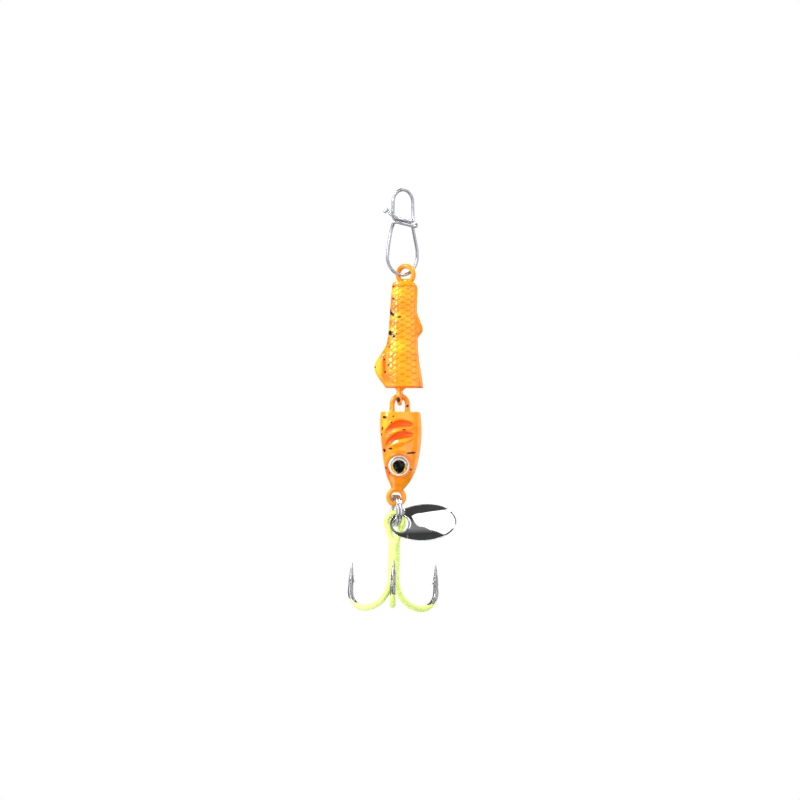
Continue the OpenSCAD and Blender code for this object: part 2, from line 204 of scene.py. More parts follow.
class Nodes:
    """A short way to write a node material."""

    def __init__(self, name):
        self.material = bpy.data.materials.new(name)
        self.material.use_nodes = True
        self.tree = self.material.node_tree
        self.shader = self.tree.nodes["Principled BSDF"]
        self.place = self.add("ShaderNodeTexCoord").outputs["Object"]

    def add(self, kind, **values):
        n = self.tree.nodes.new(kind)
        for key, value in values.items():
            setattr(n, key, value)
        return n

    def link(self, a, b):
        self.tree.links.new(a, b)

    def layer(self, name):
        return self.add("ShaderNodeAttribute", attribute_name=name).outputs["Fac"]

    def noise(self, per_mm, detail=3.0, rough=0.5, stretch=None):
        where = self.place
        if stretch:
            m = self.add("ShaderNodeMapping")
            m.inputs["Scale"].default_value = stretch
            self.link(where, m.inputs["Vector"])
            where = m.outputs["Vector"]
        n = self.add("ShaderNodeTexNoise")
        n.inputs["Scale"].default_value = per_mm / MM
        n.inputs["Detail"].default_value = detail
        n.inputs["Roughness"].default_value = rough
        self.link(where, n.inputs["Vector"])
        return n.outputs["Fac"]

    def ramp(self, value, *stops):
        n = self.add("ShaderNodeValToRGB")
        fill_ramp(n, stops)
        self.link(value, n.inputs["Fac"])
        return n.outputs["Color"]

    def mix(self, factor, a, b):
        n = self.add("ShaderNodeMix", data_type="RGBA")
        for socket, value in ((n.inputs[0], factor), (n.inputs[6], a), (n.inputs[7], b)):
            if isinstance(value, tuple):
                socket.default_value = (*value, 1)
            elif isinstance(value, (int, float)):
                socket.default_value = value
            else:
                self.link(value, socket)
        return n.outputs[2]

    def maths(self, how, a, b, clamp=False):
        n = self.add("ShaderNodeMath", operation=how, use_clamp=clamp)
        for socket, value in ((n.inputs[0], a), (n.inputs[1], b)):
            if isinstance(value, (int, float)):
                socket.default_value = value
            else:
                self.link(value, socket)
        return n.outputs[0]

    def bump(self, height, depth_mm, strength=1.0):
        n = self.add("ShaderNodeBump")
        n.inputs["Strength"].default_value = strength
        n.inputs["Distance"].default_value = depth_mm * MM
        self.link(height, n.inputs["Height"])
        self.link(n.outputs["Normal"], self.shader.inputs["Normal"])

    def set(self, **values):
        for key, value in values.items():
            socket = self.shader.inputs[key.replace("_", " ")]
            if isinstance(value, tuple) and len(value) == 3:
                value = (*value, 1)
            if isinstance(value, (int, float, tuple)):
                socket.default_value = value
            else:
                self.link(value, socket)


# Linear red, green and blue. Where a name has several tones, they run from dark to light.
ORANGE = ((0.97, 0.25, 0.003), (1.0, 0.37, 0.008))
# The red serves for airbrushed marks, and also as painted shade in hollows and a painted shadow along the
# tail's bottom edge.
YELLOW_PATCH, RED_AIRBRUSH_AND_SHADE = (1.0, 0.63, 0.02), (1.0, 0.105, 0.006)
FLECK_HALO, FLECK_BLACK = (0.45, 0.02, 0.002), (0.012, 0.006, 0.006)
SNAP_TONE, RING_TONE = (0.46, 0.46, 0.50), (0.52, 0.52, 0.56)
NICKEL = ((0.70, 0.70, 0.73), (0.86, 0.86, 0.88))
LIME = ((0.74, 0.97, 0.18), (0.84, 1.0, 0.32))
BARE_STEEL = ((0.15, 0.145, 0.155), (0.46, 0.44, 0.48))
GOLD_FOIL = ((0.5, 0.25, 0.01), (0.92, 0.56, 0.04), (1.0, 0.8, 0.22))
# The white tone makes the iris top pale foil with a painted highlight; the iris edge tone is a printed
# outline and, at the top, a painted dark reflection.
SILVER_AND_GLINT, IRIS_LINE_AND_DARK_REFLECTION = (1.0, 1.0, 0.97), (0.05, 0.035, 0.01)
EYE_RIM, PUPIL_BLACK = (1.0, 0.9, 0.86), (0.006, 0.006, 0.008)
RESIN_CLEAR, RESIN_EDGE = (1.0, 1.0, 1.0), (1.0, 0.9, 0.87)
FLOOR_WHITE = ((0.86, 0.86, 0.86), (0.9, 0.9, 0.9))


def body_paint():
    """Glossy orange lacquer: yellow patches, red airbrushed marks, red crescents in the gill hollows, red
    painted shade in the tail's hollows and round the eye wells, a painted shadow along the tail's bottom
    edge, and black flecks, over a cast body.
    """
    m = Nodes("orange_lacquer")
    cloud = m.noise(per_mm=0.45, detail=3, rough=0.55)
    orange = m.ramp(cloud, (0.3, ORANGE[0]), (0.7, ORANGE[1]))
    speckle = m.noise(per_mm=3.2, detail=4, rough=0.6)
    edge = m.maths("MULTIPLY", m.maths("SUBTRACT", speckle, 0.5), 0.7)
    yellow = m.maths("ADD", m.layer("yellow"), edge, clamp=True)
    colour = m.mix(m.maths("MULTIPLY", yellow, 0.9), orange, YELLOW_PATCH)
    # The red layer carries the airbrushed marks and, from the castings, red painted shade and a painted
    # shadow.
    red = m.maths("ADD", m.layer("red"), m.maths("MULTIPLY", edge, 0.4), clamp=True)
    colour = m.mix(red, colour, RED_AIRBRUSH_AND_SHADE)
    fleck = m.maths("ADD", m.layer("fleck"), m.maths("MULTIPLY", edge, 0.5), clamp=True)
    halo = m.ramp(fleck, (0.12, 0.0), (0.4, 1.0))
    colour = m.mix(m.maths("MULTIPLY", halo, 0.75), colour, FLECK_HALO)
    core = m.ramp(fleck, (0.42, 0.0), (0.6, 1.0))
    colour = m.mix(core, colour, FLECK_BLACK)
    m.set(Base_Color=colour, Metallic=0.0, Coat_Weight=1.0, Coat_Roughness=0.09, Coat_IOR=1.42)
    m.set(Specular_IOR_Level=0.12, Roughness=m.ramp(speckle, (0.3, 0.24), (0.7, 0.36)))
    m.bump(m.noise(per_mm=1.2, detail=2), depth_mm=0.008, strength=0.5)
    return m.material


def wire_metal(name, tone, rough, drawn):
    """Plated spring wire: drawing marks, tiny pits and uneven polish."""
    m = Nodes(name)
    mark = m.noise(per_mm=1.2, detail=3, stretch=drawn)
    colour = m.ramp(mark, (0.3, tuple(t * 0.8 for t in tone)), (0.65, tone))
    m.set(Base_Color=colour, Metallic=1.0, Specular_IOR_Level=0.5)
    m.set(Roughness=m.ramp(mark, (0.3, rough * 0.7), (0.75, rough * 1.5)))
    m.bump(m.noise(per_mm=1.0, detail=2, stretch=drawn), depth_mm=0.002, strength=0.2)
    return m.material


def blade_chrome():
    """Mirror nickel plate with faint polishing swirls and a slight ripple."""
    m = Nodes("mirror_plate")
    haze = m.noise(per_mm=0.5, detail=3)
    lines = m.noise(per_mm=5.0, detail=3, rough=0.6, stretch=(0.25, 1.0, 1.6))
    m.set(Base_Color=m.ramp(haze, (0.3, NICKEL[0]), (0.7, NICKEL[1])), Metallic=1.0)
    m.set(Roughness=m.ramp(lines, (0.3, 0.03), (0.75, 0.085)))
    m.bump(m.noise(per_mm=0.45, detail=2, rough=0.4), depth_mm=0.01, strength=0.2)
    return m.material


def hook_finish():
    """Fluorescent yellow-green lacquer that stops unevenly, with bright bare steel points."""
    m = Nodes("chartreuse_lacquer")
    cloud = m.noise(per_mm=0.9, detail=3)
    lime = m.ramp(cloud, (0.3, LIME[0]), (0.7, LIME[1]))
    grain = m.noise(per_mm=4.0, detail=4, rough=0.6, stretch=(1.0, 1.0, 0.3))
    steel = m.ramp(grain, (0.35, BARE_STEEL[0]), (0.65, BARE_STEEL[1]))
    tear = m.noise(per_mm=1.8, detail=3, rough=0.6)
    ragged = m.maths("MULTIPLY", m.maths("SUBTRACT", tear, 0.5), 0.9)
    bare = m.ramp(m.maths("ADD", m.layer("bare"), ragged), (0.46, 0.0), (0.54, 1.0))
    m.set(Base_Color=m.mix(bare, lime, steel), Metallic=bare, Coat_Weight=0.4, Coat_Roughness=0.16)
    m.set(Coat_IOR=1.36, Specular_IOR_Level=0.3)
    m.set(Roughness=m.ramp(grain, (0.3, 0.27), (0.7, 0.38)))
    m.bump(m.noise(per_mm=1.2, detail=2), depth_mm=0.003, strength=0.3)
    return m.material


FOIL_RAYS = 38.0


def eye_print():
    """Foil iris with fine rays under a printed black pupil; its top is whitened as pale foil with a painted
    highlight, and its outline darkened at the top as a painted dark reflection.
    """
    m = Nodes("foil_iris")
    around = m.layer("around")
    wave = m.add("ShaderNodeTexNoise", noise_dimensions="1D")
    wave.inputs["Scale"].default_value = FOIL_RAYS
    wave.inputs["Detail"].default_value = 3.0
    m.link(around, wave.inputs["W"])
    foil = m.ramp(wave.outputs["Fac"], (0.3, GOLD_FOIL[0]), (0.5, GOLD_FOIL[1]), (0.75, GOLD_FOIL[2]))
    # Pale foil and a painted highlight whiten the top of the iris.
    foil = m.mix(m.layer("silver_and_glint"), foil, SILVER_AND_GLINT)
    # A printed dark outline, made darker towards the top as a painted dark reflection.
    foil = m.mix(m.layer("edge"), foil, IRIS_LINE_AND_DARK_REFLECTION)
    foil = m.mix(m.layer("rim"), foil, EYE_RIM)
    pupil = m.ramp(m.layer("pupil"), (0.42, 0.0), (0.58, 1.0))
    m.set(Base_Color=m.mix(pupil, foil, PUPIL_BLACK), Specular_IOR_Level=0.02)
    m.set(Metallic=m.maths("MULTIPLY", m.maths("SUBTRACT", 1.0, pupil), 0.15))
    m.set(Roughness=m.ramp(wave.outputs["Fac"], (0.3, 0.3), (0.7, 0.18)))
    return m.material


def clear_resin():
    """Clear moulded resin, with a milky bevelled edge."""
    m = Nodes("clear_resin")
    haze = m.noise(per_mm=0.8, detail=2)
    bevel = m.layer("bevel")
    m.set(Base_Color=m.mix(bevel, RESIN_CLEAR, RESIN_EDGE), IOR=1.22, Coat_Weight=0.0)
    m.set(Transmission_Weight=m.maths("SUBTRACT", 1.0, m.maths("MULTIPLY", bevel, 0.8)))
    smears = m.ramp(haze, (0.3, 0.0), (0.8, 0.02))
    m.set(Roughness=m.maths("ADD", smears, m.maths("MULTIPLY", bevel, 0.25)))
    return m.material


paint = body_paint()
snap_steel = wire_metal("snap_steel", SNAP_TONE, rough=0.32, drawn=(1.0, 1.0, 0.25))
ring_steel = wire_metal("ring_steel", RING_TONE, rough=0.24, drawn=(1.0, 0.35, 0.35))
chrome = blade_chrome()
hook_paint = hook_finish()
iris = eye_print()
resin = clear_resin()

# ---- Paint marks on the castings: [x, z, half length, half width, turn], on the flank that faces -Y ----

TAIL_FLECKS = [
    [-1.9, -22.8, 0.62, 0.27, -38], [-0.45, -23.4, 0.36, 0.2, 20], [-2.2, -26.35, 0.5, 0.42, -40],
    [-1.62, -26.9, 0.5, 0.25, -42], [-1.67, -20.0, 0.24, 0.2, 0], [-1.77, -17.75, 0.2, 0.16, 0],
    [-2.3, -22.2, 0.22, 0.3, 0], [-2.6, -24.1, 0.16, 0.22, 0], [-2.75, -27.4, 0.2, 0.24, 0],
    [-1.0, -26.5, 0.14, 0.12, 0], [-2.68, -28.2, 0.14, 0.13, 0], [-2.34, -28.95, 0.16, 0.13, 0],
    [-3.35, -31.3, 0.2, 0.16, 60], [-2.47, -32.35, 0.27, 0.2, 20], [-3.18, -33.6, 0.22, 0.19, 0],
    [-5.22, -32.7, 0.18, 0.2, 0], [-4.3, -35.1, 0.2, 0.14, 40], [-2.4, -24.35, 0.13, 0.12, 0],
    [-1.6, -35.5, 0.12, 0.1, 0],
]
HEAD_FLECKS = [
    [-3.4, -42.0, 0.36, 0.26, -10], [-1.82, -41.8, 0.15, 0.14, 0], [-2.18, -42.9, 0.16, 0.15, 0],
    [-3.85, -44.1, 0.14, 0.32, -8], [0.2, -44.3, 0.3, 0.12, 0], [-3.46, -48.15, 0.22, 0.32, 20],
    [-2.34, -47.8, 0.38, 0.17, 0], [1.5, -48.62, 0.85, 0.17, 4], [-3.16, -51.4, 0.22, 0.15, 0],
    [1.49, -51.7, 0.25, 0.18, 0], [-2.5, -52.3, 0.13, 0.12, 0], [-3.98, -45.2, 0.12, 0.2, 0],
]
WIRE_FLECKS = [[-0.72, -38.75, 0.38, 0.48, 0], [-2.5, -40.35, 0.2, 0.2, 0], [0.82, -39.9, 0.22, 0.2, 0]]
TAIL_YELLOW = [
    [-1.1, -18.7, 1.0, 0.8, 0], [-1.3, -23.3, 1.4, 0.7, 10], [-1.9, -26.2, 1.0, 0.9, 0],
    [-1.3, -28.8, 1.8, 1.1, 0], [-4.75, -32.6, 0.65, 2.5, 0],
]
HEAD_YELLOW = [[-3.2, -43.4, 0.6, 1.1, 0]]
TAIL_RED = [
    [-2.15, -20.3, 0.35, 1.2, 0], [-2.3, -22.6, 0.5, 1.0, 0], [-2.55, -24.6, 0.35, 0.9, 0],
    [-2.85, -27.8, 0.5, 1.1, 0], [-1.7, -20.1, 0.7, 0.6, 0], [-1.5, -21.6, 0.9, 0.7, 0],
    [-2.5, -28.7, 0.7, 0.7, 0], [-1.7, -17.7, 0.4, 0.4, 0], [-3.35, -32.0, 0.4, 2.6, 6],
    [-2.0, -24.5, 1.1, 0.5, 0], [-2.6, -34.6, 1.0, 0.9, 0],
]
HEAD_RED = [
    [-3.2, -46.6, 0.8, 2.6, -6], [-2.9, -52.2, 0.7, 1.8, -14], [0.1, -46.9, 0.3, 0.2, 0],
    [-1.3, -54.6, 1.2, 0.35, 0], [0.2, -44.3, 0.6, 0.3, 0],
]


def far_side(marks):
    """The same kind of marks for the flank that can't be seen, moved about by chance."""
    moved = []
    for x, z, a, b, turn in marks:
        across, up, size = rng.uniform(-0.6, 0.8), rng.uniform(-1.2, 1.2), rng.uniform(0.7, 1.2)
        moved.append([x + across, z + up, a * size, b, -turn])
    return moved


def ripple(v, size):
    """A cheap smooth wobble between -1 and 1, from place alone."""
    x, z = v[:, 0] / size, v[:, 2] / size
    return (np.sin(x * 2.1 + 1.3 * np.sin(z * 1.7)) + np.sin(z * 2.3 + 1.1 * np.sin(x * 2.9))) / 2


# How far a mark runs over a ridge, how deep it is for its size, and how uneven its outline is.
OVER_RIDGE, MARK_DEEP, MARK_WOBBLE, WOBBLE_SIZE = 0.6, 2.5, 0.16, 0.17


def marked(v, near, far, soft):
    """How far each point is inside a mark, 0 to 1: soft ovals on both flanks, rounded off over the ridges."""
    out = np.zeros(len(v))
    wobble = MARK_WOBBLE * ripple(v, WOBBLE_SIZE)
    for side, marks in ((-1, near), (1, far)):
        beyond = -side * v[:, 1]
        share = 1 - smooth_step(beyond, 0.0, OVER_RIDGE)
        for x, z, a, b, turn in marks:
            c, s = math.cos(math.radians(turn)), math.sin(math.radians(turn))
            dx, dz = v[:, 0] - x, v[:, 2] - z
            middle = v[np.argmin(np.where(beyond <= 0, dx * dx + dz * dz, np.inf)), 1]
            along, across = (dx * c + dz * s) / a, (dz * c - dx * s) / b
            deep = (v[:, 1] - middle) / (MARK_DEEP * max(a, b))
            d = np.sqrt(along ** 2 + across ** 2 + deep ** 2) + wobble
            out = np.maximum(out, share * np.clip((1 + soft - d) / (2 * soft), 0, 1))
    return out


# How soft the edge of each kind of mark is, and how strongly the airbrushed colours cover.
FLECK_SOFT, YELLOW_SOFT, RED_SOFT = 0.3, 0.55, 0.6
YELLOW_COVER, RED_COVER = 0.7, 0.6


def paint_layers(v, flecks, yellow, red, more_red_and_shade=0):
    """The float layers that the orange lacquer reads, for a casting or a wire eye; the extra red brings in
    the red of a casting's hollows: the gill crescents, and the painted shade and shadow.
    """
    return {
        "fleck": marked(v, flecks, far_side(flecks), FLECK_SOFT),
        "yellow": YELLOW_COVER * marked(v, yellow, far_side(yellow), YELLOW_SOFT),
        # The red layer adds the castings' painted shade and shadow to the airbrushed marks.
        "red": np.clip(RED_COVER * marked(v, red, far_side(red), RED_SOFT) + more_red_and_shade, 0, 1),
    }


# ---- Cast sections ----

BACK_FIN_POWER, BELLY_FIN_POWER = 6, 10
END_SHARES = (0.02, 0.2, 0.45, 0.7, 0.87)


def casting_grid(stations, z_top, z_end, rows, sides, belly_power, back_power, round_top, round_end):
    """Rings of a casting by height: ovals with fins at the back and belly, closed by rounded ends.

    A station is [z, back x, belly x, half thickness, back fin, belly fin].
    """
    st = catmull(stations, 12)
    st = st[np.argsort(st[:, 0])]

    def at(z):
        return [np.interp(z, st[:, 0], st[:, k]) for k in range(1, 6)]

    a = 2 * np.pi * (np.arange(sides) + 0.5) / sides
    c, s = np.cos(a), np.sin(a)
    power = np.where(c > 0, belly_power, back_power)
    ux = np.sign(c) * np.abs(c) ** power
    uy = -np.sign(s) * np.abs(s) ** power
    bevel = np.radians(np.linspace(90, 0, 7))
    levels = [(z_top, f) for f in END_SHARES]
    levels += [(z_top - round_top * (1 - math.sin(b)), -round_top * (1 - math.cos(b))) for b in bevel]
    levels += [(z, 0.0) for z in np.linspace(z_top - round_top, z_end + round_end, rows)[1:-1]]
    levels += [(z_end + round_end * (1 - math.sin(b)), -round_end * (1 - math.cos(b))) for b in bevel[::-1]]
    levels += [(z_end, f) for f in END_SHARES[::-1]]
    rings = []
    for z, share in levels:
        xb, xf, half, back_fin, belly_fin = at(z)
        mid, wide = (xb + xf) / 2, (xf - xb) / 2
        fin = np.where(c < 0, -max(back_fin, 0) * np.abs(c) ** BACK_FIN_POWER,
                       max(belly_fin, 0) * np.abs(c) ** BELLY_FIN_POWER)
        if share > 0:
            near_top = z > (z_top + z_end) / 2
            inset = round_top if near_top else round_end
            wide, half, fin = (wide - inset) * share, (half - inset) * share, fin * share
        else:
            wide, half = wide + share, half + share
        rings.append(np.stack([mid + wide * ux + fin, half * uy, np.full(sides, z)], 1))
    return np.array(rings)


def normals_of(grid):
    """Outward normals of the grid's points."""
    along = np.gradient(grid, axis=0)
    around = (np.roll(grid, -1, axis=1) - np.roll(grid, 1, axis=1)) / 2
    n = np.cross(along, around)
    size = np.linalg.norm(n, axis=2)[:, :, None]
    n = n / np.maximum(size, 1e-9)
    flip = np.sign(np.sum(n[:, :, :2] * (grid - grid.mean(axis=1)[:, None])[:, :, :2]))
    return n * (flip if flip else 1)


def blurred(h, rounds):
    for _ in range(rounds):
        h = (np.roll(h, 1, axis=1) + 2 * h + np.roll(h, -1, axis=1)) / 4
        inner = (h[:-2] + 2 * h[1:-1] + h[2:]) / 4
        h = np.vstack([h[:1], inner, h[-1:]])
    return h


JOINT_X = -0.58
TAIL_YAW = math.radians(-8)


def tail_place(v):
    """Turns points of the tail section about the vertical through the joint."""
    out = np.array(v, float)
    c, s = math.cos(TAIL_YAW), math.sin(TAIL_YAW)
    x, y = out[..., 0] - JOINT_X, out[..., 1].copy()
    out[..., 0] = JOINT_X + x * c - y * s
    out[..., 1] = x * s + y * c
    return out


TAIL_TOP, TAIL_END = -16.8, -36.6
TAIL_STATIONS = [
    [-16.8, -1.85, 2.1, 1.0, 0, 0], [-17.15, -1.95, 2.4, 1.06, 0, 0], [-17.8, -2.06, 2.8, 1.14, 0, 0],
    [-19.1, -2.2, 2.84, 1.25, 0, 0], [-22, -2.42, 2.75, 1.45, 0, 0], [-23, -2.5, 2.77, 1.5, 0, 0.14],
    [-24.4, -2.58, 2.8, 1.58, 0, 0.62], [-25.5, -2.67, 2.83, 1.64, 0, 0.95],
    [-26.1, -2.73, 2.85, 1.67, 0, 0.84], [-26.8, -2.8, 2.87, 1.7, 0, 0.3],
    [-27.4, -2.86, 2.9, 1.73, 0, 0], [-28.4, -3, 2.95, 1.77, 0.12, 0],
    [-29.6, -3.05, 3, 1.81, 0.65, 0], [-30.6, -3.1, 3.1, 1.85, 1.3, 0], [-31.6, -3.15, 3.2, 1.88, 1.9, 0],
    [-32.7, -3.2, 3.4, 1.92, 2.15, 0], [-33.9, -3.2, 3.6, 1.95, 1.9, 0], [-35, -3.2, 3.75, 1.95, 1.2, 0],
    [-36, -3.2, 3.86, 1.95, 0.45, 0], [-36.6, -3.2, 3.9, 1.92, 0.1, 0],
]
COLUMN, FIRST_PITCH, PITCH_GROWTH, SCALES_FROM, SLANT, SCALE_DEPTH = 1.14, 0.98, 0.0125, -17.0, 0.08, 0.24
SCALE_HALF_WIDE, SCALE_HALF_HIGH = 0.92, 0.82


def scale_relief(x, z, mid):
    """Height of overlapping fish scales, about 0 to 1: staggered columns whose rounded edges point down."""
    pitch = FIRST_PITCH + PITCH_GROWTH * (SCALES_FROM - z)
    v = np.log(pitch / FIRST_PITCH) / PITCH_GROWTH + SLANT * (x - mid)
    u = (x - mid) / (COLUMN * (0.84 + 0.16 * smooth_step(-z, 17, 33)))
    best = np.full(x.shape, 1e9)
    height = np.zeros(x.shape)
    for di in (-1, 0, 1, 2):
        col = np.floor(u) + di
        shift = 0.5 * np.mod(col, 2)
        for dj in (-1, 0, 1, 2):
            vc = np.floor(v - shift) + dj + shift
            du, dv = (u - col) / SCALE_HALF_WIDE, (v - vc) / SCALE_HALF_HIGH
            r2 = du * du + dv * dv
            slope = 0.25 + 0.75 * np.clip((dv + 0.9) / 1.7, 0, 1) - 0.3 * du * du
            h = slope * (1 - np.clip(r2, 0, 1) ** 7)
            take = (r2 < 1) & (vc < best)
            best = np.where(take, vc, best)
            height = np.where(take, h, height)
    return height


# Smooth borders beside the scales: x by -z.
LEFT_BORDER = ([17, 22, 28.4, 36.6], [-2.0, -2.42, -3.0, -3.2])
RIGHT_BORDER = ([17, 22, 28.4, 32.7, 36.6], [2.6, 2.75, 2.95, 3.4, 3.9])
COLLAR_Z, COLLAR_HIGH, COLLAR_WIDE = -17.3, 0.08, 0.13
GROOVE_Z, GROOVE_DEEP, GROOVE_WIDE = -17.72, 0.09, 0.14
RIM_Z, RIM_HIGH, RIM_WIDE = -36.15, 0.05, 0.25
ROOT_DEEP, ROOT_WIDE = 0.2, 0.22
# How red the painted shade in the scale valleys is.
SCALE_VALLEY_SHADE = 0.62


def make_tail():
    """The tail casting with its scales, and its red painted shade: in the scale valleys, the collar groove
    and the fin root, with a painted shadow along the bottom edge.
    """
    grid = casting_grid(TAIL_STATIONS, TAIL_TOP, TAIL_END, rows=330, sides=320, belly_power=0.72,
                        back_power=0.8, round_top=0.3, round_end=0.28)
    n = normals_of(grid)
    x, y, z = grid[:, :, 0], grid[:, :, 1], grid[:, :, 2]
    flank = smooth_step(np.abs(n[:, :, 1]), 0.55, 0.8)
    left, right = np.interp(-z, *LEFT_BORDER), np.interp(-z, *RIGHT_BORDER)
    inside = smooth_step(x - left, 0.3, 0.75) * smooth_step(right - x, 0.45, 0.75)
    span = smooth_step(-z, 17.1, 17.5) * (1 - smooth_step(-z, 35.3, 35.8))
    mask = flank * inside * span
    scales = scale_relief(x, z, 0.1)
    relief = SCALE_DEPTH * mask * (scales - 0.6)
    collar = COLLAR_HIGH * bell(z, COLLAR_Z, COLLAR_WIDE) - GROOVE_DEEP * bell(z, GROOVE_Z, GROOVE_WIDE)
    rim = RIM_HIGH * bell(z, RIM_Z, RIM_WIDE)
    border = smooth_step(right - x, 0.2, 0.4) * (1 - smooth_step(right - x, 0.5, 0.8))
    edge_step = 0.07 * border * span
    bow = x + 3.35 + 0.02 * (z + 32) ** 2
    root_groove = -ROOT_DEEP * bell(bow, 0, ROOT_WIDE) * bell(z, -32.4, 2.5, 4) * (np.abs(y) > 0.5)
    h = blurred(relief, 2) + (collar + rim + edge_step) * flank + blurred(root_groove, 3)
    grid = grid + n * h[:, :, None]
    # Red painted shade in the low valleys between the scales.
    hollow = np.clip((0.3 - scales) * 2.6, 0, 1) * mask * SCALE_VALLEY_SHADE
    # A painted shadow in red along the tail's bottom edge.
    hollow = np.maximum(blurred(hollow, 3), 0.8 * smooth_step(-z, 36.0, 36.4))
    # Red painted shade in the collar groove.
    hollow = np.maximum(hollow, 0.6 * bell(z, GROOVE_Z, 0.16) * flank)
    # Red painted shade in the groove at the fin's root.
    hollow = np.maximum(hollow, np.clip(-3 * root_groove, 0, 0.5))
    return closed_grid(grid), hollow.ravel()


HEAD_TOP, HEAD_END = -40.9, -55.6
HEAD_STATIONS = [
    [-40.9, -4.12, 3.22, 2.0, 0, 0], [-41.3, -4.18, 3.34, 2.1, 0, 0], [-42.7, -4.32, 3.48, 2.28, 0, 0],
    [-45.1, -4.24, 3.5, 2.35, 0, 0], [-47.3, -4.0, 3.33, 2.35, 0, 0], [-49.5, -3.76, 3.0, 2.28, 0, 0],
    [-51.6, -3.42, 2.5, 2.07, 0, 0], [-53.3, -2.95, 1.75, 1.7, 0, 0], [-54.4, -2.45, 1.05, 1.27, 0, 0],
    [-55.1, -2.25, 0.45, 0.95, 0, 0], [-55.6, -2.3, 0.0, 0.7, 0, 0],
]
EYE_X, EYE_Z = -0.74, -50.95
GILLS = [
    [[-3.5, -45.3], [-3.05, -44.5], [-2.05, -43.75], [-0.9, -43.3], [0.3, -43.2], [1.4, -43.3],
     [2.3, -43.5]],
    [[-3.45, -47.5], [-3.0, -46.8], [-2.05, -46.0], [-0.9, -45.45], [0.3, -45.25], [1.4, -45.25],
     [2.3, -45.3]],
]
GILL_HALF = [0.82, 0.84]
EYE_WELL_R, EYE_WELL_Y = 2.02, 1.28
EYE_RIDGE_R, EYE_RIDGE_HIGH, EYE_RIDGE_WIDE = 2.2, 0.1, 0.16
CHEEK_AT, CHEEK_HIGH = (-0.4, -48.2), 0.12
# Height across a gill, by its half widths from the middle: plate, flat ramp, floor, upper wall, lip.
GILL_PROFILE = np.array([[-2.7, 0.0], [-1.75, 0.2], [-1.5, 0.2], [-0.4, -0.48], [0.3, -0.52], [0.65, -0.4],
                         [1.0, 0.0], [1.3, 0.07], [1.9, 0.0]])


def gill_relief(x, z):
    """Height of the crescent hollows and their plate edges, and how far inside a hollow each point is."""
    h = np.zeros(x.shape)
    red = np.zeros(x.shape)
    for line, half in zip(GILLS, GILL_HALF):
        p = catmull(line, 8)
        zc = np.interp(x, p[:, 0], p[:, 1])
        u = np.clip((x - p[0, 0]) / (p[-1, 0] - p[0, 0]), 0, 1)
        wide = half * np.clip(np.sin(np.pi * u ** 0.85), 0, 1) ** 0.6 + 1e-3
        v = (z - zc) / wide
        ends = smooth_step(u, 0.0, 0.12) * (1 - smooth_step(u, 0.86, 1.0))
        h += np.interp(v, GILL_PROFILE[:, 0], GILL_PROFILE[:, 1], left=0, right=0) * wide / half
        floor = smooth_step(v, -1.05, -0.7) * (1 - smooth_step(v, 0.75, 0.98))
        red = np.maximum(red, floor * ends)
    return h, red


def make_head():
    """The head casting with its gills and eye wells, and how red each of its points is: the gill crescents,
    and a ring of painted shade round each eye well.
    """
    grid = casting_grid(HEAD_STATIONS, HEAD_TOP, HEAD_END, rows=260, sides=320, belly_power=0.92,
                        back_power=0.88, round_top=0.34, round_end=0.15)
    n = normals_of(grid)
    x, y, z = grid[:, :, 0], grid[:, :, 1], grid[:, :, 2]
    flank = smooth_step(np.abs(n[:, :, 1]), 0.45, 0.8)
    h, red = gill_relief(x, z)
    h = blurred(h * flank, 2)
    from_eye = np.hypot(x - EYE_X, z - EYE_Z)
    ridge = EYE_RIDGE_HIGH * bell(from_eye, EYE_RIDGE_R, EYE_RIDGE_WIDE)
    cheek = CHEEK_HIGH * bell(z, CHEEK_AT[1], 0.5) * bell(x, CHEEK_AT[0], 2.2, 4)
    grid = grid + n * (h + flank * (ridge + cheek))[:, :, None]
    well = smooth_step(EYE_WELL_R - from_eye, 0, 0.12) * (np.abs(y) > 0.6)
    floor = np.sign(y) * EYE_WELL_Y
    grid[:, :, 1] += well * (floor - grid[:, :, 1])
    # A red ring of painted shade round the eye well's pocket.
    halo = 0.55 * bell(from_eye, 2.25, 0.22) * flank
    return closed_grid(grid), np.maximum(red * flank, halo).ravel()


tail_shape, tail_painted_shade = make_tail()
# The tail's painted shade and shadow go into its red layer.
tail_layers = paint_layers(tail_shape[0], TAIL_FLECKS, TAIL_YELLOW, TAIL_RED, tail_painted_shade)
tail_turned = (tail_place(tail_shape[0]), tail_shape[1])
piece("tail_body", tail_turned, paint, "tail", "body_paint", ["tail_casting"], **tail_layers)

head_shape, head_red_and_shade = make_head()
# The head's gill red and the painted shade round its eyes go into its red layer.
head_layers = paint_layers(head_shape[0], HEAD_FLECKS, HEAD_YELLOW, HEAD_RED, head_red_and_shade)
piece("head_body", head_shape, paint, "head", "body_paint", ["head_casting"], **head_layers)

# ---- Painted wire eyes of the castings ----

EYE_WIRE_R = 0.472
LOOP_WIRE_R = EYE_WIRE_R * 1.02
JOINT_Z = -38.12
TAIL_RING_R, TAIL_LOOP_R, ARCH_R, HEAD_RING_R = 1.56, 1.3, 1.43, 1.42
FLARE_POWER = 2.6


def ring_path(centre, radius, d, a0, a1, step=6):
    """A circle's arc in the upright plane that holds the level direction d."""
    a = np.radians(np.arange(a0, a1 + 0.1, step))
    d = np.array(d, float)
    return np.array(centre) + radius * (np.outer(np.cos(a), d) + np.outer(np.sin(a), [0, 0, 1]))


